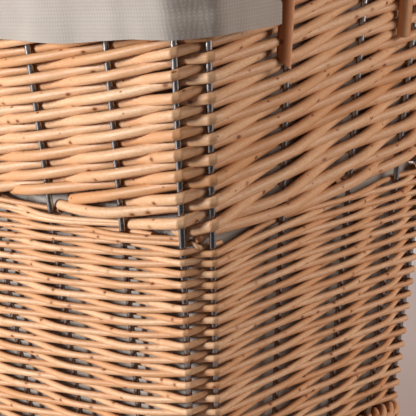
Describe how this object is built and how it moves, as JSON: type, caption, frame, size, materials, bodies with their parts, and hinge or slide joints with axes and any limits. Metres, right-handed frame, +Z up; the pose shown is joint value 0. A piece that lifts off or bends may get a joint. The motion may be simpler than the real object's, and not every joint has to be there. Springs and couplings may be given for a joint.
{
  "type": "wicker laundry basket",
  "caption": "Tapered rectangular laundry basket: willow woven on a steel wire frame, two weaves, arched handles and a lift-out cloth liner folded over the rim.",
  "frame": {"origin": "on the floor under the middle of the basket", "axes": "+Z up out of the mouth, X along the long walls, -Y out of the front wall; the handles are on the short walls at +X and -X"},
  "size_m": [0.5636, 0.359, 0.4778],
  "materials": {
    "steel_wire": "bare drawn steel wire, dull grey with a narrow bright line",
    "thick_willow": "boiled and peeled whole willow rods, satin, with dark bud scars",
    "thin_willow": "boiled and peeled thin willow rods, satin, with dark bud scars",
    "split_willow": "split willow skein wound tight, satin",
    "liner_cotton": "grey-brown plain woven cotton"
  },
  "bodies": {
    "basket": {"stake_front_1": "steel_wire", "stake_front_2": "steel_wire", "stake_front_3": "steel_wire", "stake_front_4": "steel_wire", "stake_front_5": "steel_wire", "stake_front_6": "steel_wire", "stake_front_7": "steel_wire", "stake_front_8": "steel_wire", "stake_right_1": "steel_wire", "stake_right_2": "steel_wire", "stake_right_3": "steel_wire", "stake_right_4": "steel_wire", "stake_right_5": "steel_wire", "stake_back_1": "steel_wire", "stake_back_2": "steel_wire", "stake_back_3": "steel_wire", "stake_back_4": "steel_wire", "stake_back_5": "steel_wire", "stake_back_6": "steel_wire", "stake_back_7": "steel_wire", "stake_back_8": "steel_wire", "stake_left_1": "steel_wire", "stake_left_2": "steel_wire", "stake_left_3": "steel_wire", "stake_left_4": "steel_wire", "stake_left_5": "steel_wire", "foot_ring": "steel_wire", "rim_ring": "steel_wire", "base_wire_1": "steel_wire", "base_wire_2": "steel_wire", "base_wire_3": "steel_wire", "base_wire_4": "steel_wire", "foot_border": "thin_willow", "base_weave": "thin_willow", "lower_weave": "thin_willow", "upper_weave": "thick_willow", "rim_border": "thick_willow", "handle_right": "thick_willow", "handle_left": "thick_willow", "handle_wrap_right": "split_willow", "handle_wrap_left": "split_willow"},
    "liner": {"liner": "liner_cotton"}
  },
  "joints": [
    {"name": "liner_lift", "type": "slide", "parent": "basket", "child": "liner", "axis": [0, 0, 1], "range_m": [0, 0.45]}
  ]
}
